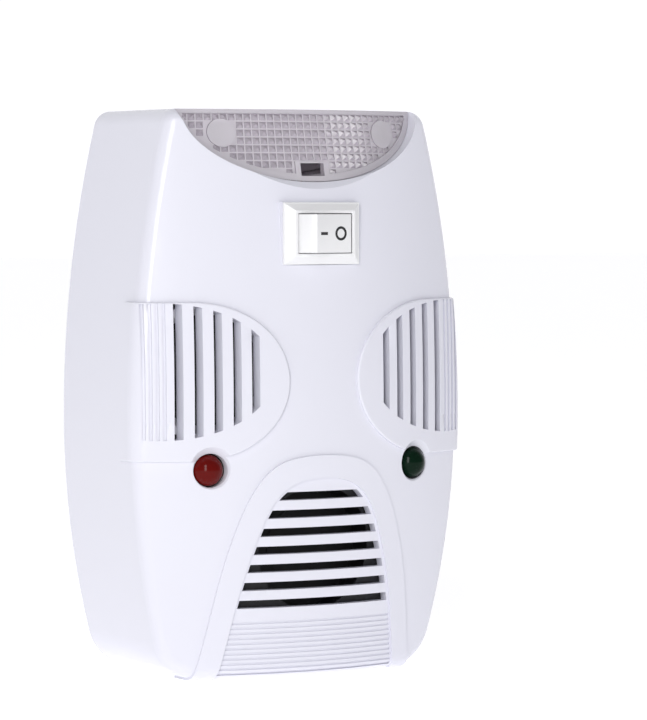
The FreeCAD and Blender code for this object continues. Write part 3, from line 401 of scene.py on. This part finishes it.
def softened(node, name, width, body, material):
    """Copy of an engineering part with its sharp edges rounded, riding on a body in its place."""
    piece = merged_copy(node, name)
    work = bmesh.new()
    work.from_mesh(piece.data)
    bmesh.ops.dissolve_limit(work, angle_limit=FLAT_WITHIN, verts=work.verts, edges=work.edges)
    work.to_mesh(piece.data)
    work.free()
    bevel = piece.modifiers.new("edges", "BEVEL")
    bevel.width = width
    bevel.segments = 3
    bevel.limit_method = "ANGLE"
    bevel.angle_limit = TRUE_EDGE
    settle(piece)
    mesh = piece.data
    mesh.materials.clear()
    mesh.materials.append(material)
    mesh.shade_smooth()
    mesh.set_sharp_from_angle(angle=CREASED)
    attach(piece, body)
    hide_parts(node)
    print(name, len(mesh.polygons), "faces")


softened("switch_body", "switch_bezel", 0.16 * MM, "housing", SWITCH_WHITE)
softened("switch_rocker", "rocker", 0.22 * MM, "rocker", SWITCH_WHITE)

# %% [markdown]
# ## Switch marks
# The two ends of the rocker carry the usual signs for on and off, a bar and a ring, pad-printed in
# black. Each is a very thin plate let into one slope of the rocker's dished top. The plates are laid
# out on the level rocker and then turned with it about its pivot. At rest the rocker leans by half
# of its travel, and both the pivot and the travel are read from the frame's joint.

# %% Marks on the rocker
HINGE = next(joint for joint in frame["joints"] if joint["child"] == "rocker")
PIVOT = Vector(HINGE["pos_m"])
TILT_AT_REST = math.radians(HINGE["range_deg"][1]) / 2
CORNER = Vector((5.76, 5.41)) * MM      # end of a slope: across from the pivot, out from the pivot
LEFT_CORNER = Vector((-CORNER.x, CORNER.y))
CREASE = Vector((0, 4.7)) * MM          # bottom of the dished top, where the two slopes meet
MARK_FOOT, MARK_TOP = -0.03 * MM, 0.04 * MM  # a mark starts inside the slope and stands just proud


def mark_points(outline, start, end, share):
    """Put a flat outline (across, up) on the slope from start to end, at a share of its length."""
    slope = (end - start).normalized()
    outward = Vector((-slope.y, slope.x))
    middle = start + (end - start) * share
    rows = []
    for lift in (MARK_FOOT, MARK_TOP):
        for across, up in outline:
            flat = middle + slope * across + outward * lift
            rows.append(Vector((flat.x, -flat.y, up)))
    turn = Matrix.Rotation(TILT_AT_REST, 4, "Z")
    return [turn @ row + PIVOT for row in rows]


def plate(name, outer, inner, start, end, share):
    """Closed thin plate between an outer ring and an optional inner ring."""
    rings = [mark_points(ring, start, end, share) for ring in (outer, inner) if ring]
    count = len(outer)
    vertices = [point for ring in rings for point in ring]
    faces = []
    for index in range(count):
        after = (index + 1) % count
        for base, flip in ((0, False), (2 * count, True))[:len(rings)]:
            side = (base + index, base + after, base + count + after, base + count + index)
            faces.append(side[::-1] if flip else side)
        if inner:
            faces.append((index, after, 2 * count + after, 2 * count + index))
            faces.append((count + index, count + after, 3 * count + after, 3 * count + index))
    if not inner:
        faces += [tuple(range(count)), tuple(range(count, 2 * count))]
    mesh = bpy.data.meshes.new(name)
    mesh.from_pydata(vertices, [], faces)
    work = bmesh.new()
    work.from_mesh(mesh)
    bmesh.ops.recalc_face_normals(work, faces=work.faces)
    work.to_mesh(mesh)
    work.free()
    piece = bpy.data.objects.new(name, mesh)
    bpy.context.scene.collection.objects.link(piece)
    mesh.materials.append(MARK_BLACK)
    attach(piece, "rocker")
    print(name, len(mesh.polygons), "faces")


def ring_outline(radius, count=40):
    """Circle as a flat outline, its radius in millimetres."""
    return [(radius * MM * math.cos(2 * math.pi * step / count),
             radius * MM * math.sin(2 * math.pi * step / count)) for step in range(count)]


def bar_outline(length, height):
    """Bar as a flat outline, its sizes in millimetres."""
    half_x, half_z = length / 2 * MM, height / 2 * MM
    return [(-half_x, -half_z), (half_x, -half_z), (half_x, half_z), (-half_x, half_z)]


plate("mark_on", bar_outline(2.6, 0.7), None, start=LEFT_CORNER, end=CREASE, share=0.47)
plate("mark_off", ring_outline(1.72), ring_outline(1.12), start=CREASE, end=CORNER, share=0.46)
print("rocker pivot in mm:", [round(value / MM, 2) for value in PIVOT])

# %% [markdown]
# ## Indicator lamps
# A round indicator is cast epoxy: a narrow rim, a straight barrel and a rounded nose that runs into
# the barrel without an edge. Such a turned shape is a profile spun about its axis. The profile here
# has more points on the nose, where the highlight sits, than on the barrel.


# %% Lamp profile
RIM_HEIGHT = 1.0 * MM
RIM_SHARE = 1.14                        # rim radius for a dome radius of 1
FOOT_SOFTENING, RIM_SOFTENING = 0.15 * MM, 0.2 * MM
NOSE_STEPS, STEPS_AROUND = 18, 64
LAMP_CREASED = math.radians(40)


def lamp_profile(radius, rim_radius, barrel):
    """Radius and height pairs from the underside centre to the tip."""
    profile = [(0, 0), (rim_radius - FOOT_SOFTENING, 0), (rim_radius, FOOT_SOFTENING),
               (rim_radius, RIM_HEIGHT - RIM_SOFTENING), (rim_radius - RIM_SOFTENING, RIM_HEIGHT),
               (radius, RIM_HEIGHT)]
    for step in range(NOSE_STEPS + 1):
        angle = math.pi / 2 * step / NOSE_STEPS
        profile.append((radius * math.cos(angle), barrel + radius * math.sin(angle)))
    return profile


def ring_of_points(work, centre, reach, depth):
    """Ring of new corners round the lamp's axis, or one corner where the profile meets the axis."""
    if reach < SAME_POINT:
        return [work.verts.new((centre.x, depth, centre.z))]
    turns = [2 * math.pi * step / STEPS_AROUND for step in range(STEPS_AROUND)]
    return [work.verts.new((centre.x + reach * math.cos(turn), depth, centre.z + reach * math.sin(turn)))
            for turn in turns]


print("profile points:", len(lamp_profile(4 * MM, 4 * RIM_SHARE * MM, 4 * MM)))


# %% Indicator lamps
def turned_lamp(name, node, material):
    """Lamp turned about the middle line of its engineering part."""
    low, high = (Vector(corner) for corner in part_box(node))
    centre = (low + high) / 2
    rim_radius = (high.x - low.x) / 2
    radius = rim_radius / RIM_SHARE
    barrel = (high.y - low.y) - radius
    work = bmesh.new()
    rings = [ring_of_points(work, centre, reach, high.y - height)
             for reach, height in lamp_profile(radius, rim_radius, barrel)]
    for below, above in zip(rings, rings[1:]):
        for step in range(STEPS_AROUND):
            after = (step + 1) % STEPS_AROUND
            corners = [below[step % len(below)], below[after % len(below)], above[after % len(above)],
                       above[step % len(above)]]
            work.faces.new(list(dict.fromkeys(corners)))
    bmesh.ops.recalc_face_normals(work, faces=work.faces)
    mesh = bpy.data.meshes.new(name)
    work.to_mesh(mesh)
    work.free()
    mesh.shade_smooth()
    mesh.set_sharp_from_angle(angle=LAMP_CREASED)
    mesh.materials.append(material)
    piece = bpy.data.objects.new(name, mesh)
    bpy.context.scene.collection.objects.link(piece)
    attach(piece, "housing")
    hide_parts(node)
    print(name, "radius", round(radius / MM, 2), "length", round((high.y - low.y) / MM, 2))


turned_lamp("red_indicator", "red_led", RED_EPOXY)
turned_lamp("green_indicator", "green_led", GREEN_EPOXY)

# %% [markdown]
# ## Night-light lens
# The sunk field of the lens is covered with small pyramids that spread the light of the lamps. They
# repeat in rows on a leaning, bowed surface, which is what Geometry Nodes is good at: the script
# lays out one point for each cell that lies inside the field, each with the angle it faces, and the
# node tree puts a pyramid on every point. The lens body is a copy of the engineering part, and both
# are joined into one clear piece.

# %% Cells of the lens field
LENS_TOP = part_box("night_light_lens")[1][2]
LENS_DROP = 17.6 * MM
DEPTH_LOW, DEPTH_TOP = 45.5 * MM, 41.7 * MM  # how far the lens stands off the wall
FIELD_RECESS = 0.5 * MM
BOW_AXIS = 41.6 * MM                    # the lens is turned about this upright line
LEAN = (DEPTH_LOW - DEPTH_TOP) / LENS_DROP
FIELD_HALF_WIDTH, FIELD_DROP = 31.1 * MM, 15.7 * MM
FIELD_TOP_RIM = 1.05 * MM
CELL_ACROSS, CELL_UP, PRISM_HEIGHT = 2.0 * MM, 1.9 * MM, 0.75 * MM
CELL_FILL = 0.98                        # a pyramid's share of its cell, which leaves a fine line
SINK = 0.12 * MM                        # how far a pyramid's foot goes into the lens
MEAN_RADIUS = 84.5 * MM                 # radius at which a cell has its full width
ROWS, HALF_ROW = 9, 17
POST = Vector((22.4, 60.2)) * MM        # screw post: across from the middle, up from the frame's origin
POST_CLEAR = 3.7 * MM
SLOT_CLEAR, SLOT_DROP = 5.0 * MM, 12.5 * MM


def in_field(across, level):
    """True when a cell lies in the sunk field, clear of the posts and the slot."""
    drop = LENS_TOP - level
    if (across / FIELD_HALF_WIDTH) ** 2 + (drop / FIELD_DROP) ** 2 > 1:
        return False
    if math.hypot(abs(across) - POST.x, level - POST.y) < POST_CLEAR:
        return False
    return not (abs(across) < SLOT_CLEAR and drop > SLOT_DROP)


def field_cells():
    """Points on the floor of the field and the angle each one faces."""
    points, angles = [], []
    for row in range(ROWS):
        level = LENS_TOP - FIELD_TOP_RIM - CELL_UP * (row + 0.5)
        reach = DEPTH_TOP - FIELD_RECESS - SINK + LEAN * (LENS_TOP - level) + BOW_AXIS
        for column in range(-HALF_ROW, HALF_ROW + 1):
            angle = column * CELL_ACROSS / MEAN_RADIUS
            if in_field(reach * math.sin(angle), level):
                points.append((reach * math.sin(angle), BOW_AXIS - reach * math.cos(angle), level))
                angles.append(angle)
    return points, angles


points, angles = field_cells()
print("lens cells:", len(points))


# %% Pyramid tree
def prism_tree():
    """Geometry Nodes: a four-sided pyramid on every point, turned by its angle and leaned back."""
    tree = bpy.data.node_groups.new("lens_prisms", "GeometryNodeTree")
    sockets = {}
    for name, kind in (("Geometry", "Geometry"), ("Across", "Float"), ("Up", "Float"),
                       ("Height", "Float"), ("Lean", "Float"), ("Material", "Material")):
        sockets[name] = tree.interface.new_socket(name=name, in_out="INPUT",
                                                  socket_type=f"NodeSocket{kind}").identifier
    tree.interface.new_socket(name="Geometry", in_out="OUTPUT", socket_type="NodeSocketGeometry")
    add, link = tree.nodes.new, tree.links.new
    given, out = add("NodeGroupInput"), add("NodeGroupOutput")
    pyramid = add("GeometryNodeMeshCone")
    pyramid.inputs["Vertices"].default_value = 4
    pyramid.inputs["Radius Top"].default_value = 0
    pyramid.inputs["Radius Bottom"].default_value = math.sqrt(0.5)
    square = add("GeometryNodeTransform")
    square.inputs["Rotation"].default_value = (0, 0, math.radians(45))
    size = add("ShaderNodeCombineXYZ")
    facing = add("GeometryNodeInputNamedAttribute")
    facing.data_type = "FLOAT"
    facing.inputs["Name"].default_value = "facing"
    turn = add("ShaderNodeCombineXYZ")
    spots = add("GeometryNodeMeshToPoints")
    place = add("GeometryNodeInstanceOnPoints")
    real = add("GeometryNodeRealizeInstances")
    paint = add("GeometryNodeSetMaterial")
    link(given.outputs["Height"], pyramid.inputs["Depth"])
    link(pyramid.outputs["Mesh"], square.inputs["Geometry"])
    link(given.outputs["Across"], size.inputs["X"])
    link(given.outputs["Up"], size.inputs["Y"])
    size.inputs["Z"].default_value = 1
    link(given.outputs["Lean"], turn.inputs["X"])
    link(facing.outputs["Attribute"], turn.inputs["Z"])
    link(given.outputs["Geometry"], spots.inputs["Mesh"])
    link(spots.outputs["Points"], place.inputs["Points"])
    link(square.outputs["Geometry"], place.inputs["Instance"])
    link(turn.outputs["Vector"], place.inputs["Rotation"])
    link(size.outputs["Vector"], place.inputs["Scale"])
    link(place.outputs["Instances"], real.inputs["Geometry"])
    link(real.outputs["Geometry"], paint.inputs["Geometry"])
    link(given.outputs["Material"], paint.inputs["Material"])
    link(paint.outputs["Geometry"], out.inputs["Geometry"])
    return tree, sockets


def prism_field(points, angles):
    """Plain mesh object with every pyramid of the lens."""
    mesh = bpy.data.meshes.new("lens_cells")
    mesh.from_pydata(points, [], [])
    facing = mesh.attributes.new("facing", "FLOAT", "POINT")
    facing.data.foreach_set("value", angles)
    piece = bpy.data.objects.new("lens_prisms", mesh)
    bpy.context.scene.collection.objects.link(piece)
    tree, sockets = prism_tree()
    modifier = piece.modifiers.new("prisms", "NODES")
    modifier.node_group = tree
    modifier[sockets["Across"]] = CELL_ACROSS * CELL_FILL
    modifier[sockets["Up"]] = CELL_UP * CELL_FILL
    modifier[sockets["Height"]] = PRISM_HEIGHT + SINK
    modifier[sockets["Lean"]] = math.pi / 2 - math.atan(LEAN)
    modifier[sockets["Material"]] = LENS
    settle(piece)
    return piece


prisms = prism_field(points, angles)
print("prism faces:", len(prisms.data.polygons))


# %% [markdown]
# Light only bends at a pyramid if the pyramid and the lens are one body: two bodies that merely
# overlap would undo each other's work at the hidden faces between them. So the pyramids are united
# with the lens by an exact Boolean, after the copy's loose triangles are merged into one skin. The
# smooth rim and the tops of the posts look paler than the pyramids, so the faces that lie along the
# lens's front get a second, cloudier finish.

# %% Lens piece
FRONT_FACING = 0.995                    # cosine of how far a front face may turn from the lens's front


def open_edges(mesh):
    """Number of edges that don't join exactly two faces."""
    work = bmesh.new()
    work.from_mesh(mesh)
    count = sum(1 for edge in work.edges if len(edge.link_faces) != 2)
    work.free()
    return count


def is_plain(face):
    """True on the smooth front of the rim and the posts, which looks paler than the pyramids."""
    across, back = face.center.x, BOW_AXIS - face.center.y
    reach = math.hypot(across, back)
    outward = Vector((across / reach, -back / reach, LEAN)).normalized()
    return face.normal.dot(outward) > FRONT_FACING


def night_light_lens():
    """Lens body and its pyramids as one clear piece."""
    piece = merged_copy("night_light_lens", "night_light_window")
    union = piece.modifiers.new("prisms", "BOOLEAN")
    union.operation = "UNION"
    union.solver = "EXACT"
    union.object = prisms
    settle(piece)
    bpy.data.objects.remove(prisms)
    mesh = piece.data
    mesh.materials.clear()
    mesh.materials.append(LENS)
    mesh.materials.append(LENS_PLAIN)
    for face in mesh.polygons:
        face.material_index = int(is_plain(face))
        face.use_smooth = False
    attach(piece, "housing")
    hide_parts("night_light_lens")
    return piece


window = night_light_lens()
print("lens faces:", len(window.data.polygons), "open edges:", open_edges(window.data))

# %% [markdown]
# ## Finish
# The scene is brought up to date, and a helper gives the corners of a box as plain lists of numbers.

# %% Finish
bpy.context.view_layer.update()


def plain(box):
    """Corners of a box as plain lists of numbers."""
    return [[float(value) for value in corner] for corner in box]
